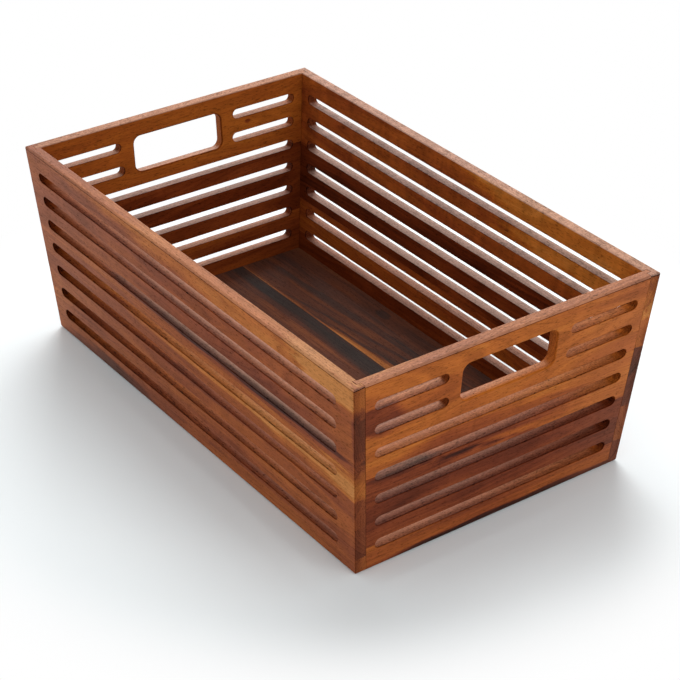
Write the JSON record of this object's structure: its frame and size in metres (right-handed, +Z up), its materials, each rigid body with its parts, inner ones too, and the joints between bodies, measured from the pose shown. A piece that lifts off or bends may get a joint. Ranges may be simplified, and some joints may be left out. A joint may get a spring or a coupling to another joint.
{
  "type": "wooden crate",
  "caption": "Open wooden crate with four outward-leaning slotted walls, a flat floor and a hand hole in each end wall, for storing and carrying things.",
  "frame": {"origin": "middle of the underside, in the plane that the crate stands on", "axes": "+X along the crate to its front end wall, +Y across it to its right side wall, +Z up"},
  "size_m": [0.4834, 0.2974, 0.18],
  "materials": {
    "golden_wood": "oiled, satin",
    "reddish_wood": "oiled, satin",
    "dark_wood": "oiled, satin",
    "orange_wood": "oiled, satin",
    "floor_wood": "oiled, satin"
  },
  "bodies": {
    "root": {"left_side_rim_board": "reddish_wood", "left_side_upper_board": "golden_wood", "left_side_lower_board": "reddish_wood", "left_side_base_board": "orange_wood", "right_side_rim_board": "reddish_wood", "right_side_upper_board": "dark_wood", "right_side_lower_board": "golden_wood", "right_side_base_board": "dark_wood", "front_end_rim_board": "golden_wood", "front_end_upper_board": "golden_wood", "front_end_lower_board": "reddish_wood", "front_end_base_board": "orange_wood", "back_end_rim_board": "golden_wood", "back_end_middle_board": "dark_wood", "back_end_base_board": "orange_wood", "floor_board_1": "floor_wood", "floor_board_2": "floor_wood", "floor_board_3": "floor_wood", "floor_board_4": "floor_wood"}
  },
  "joints": []
}
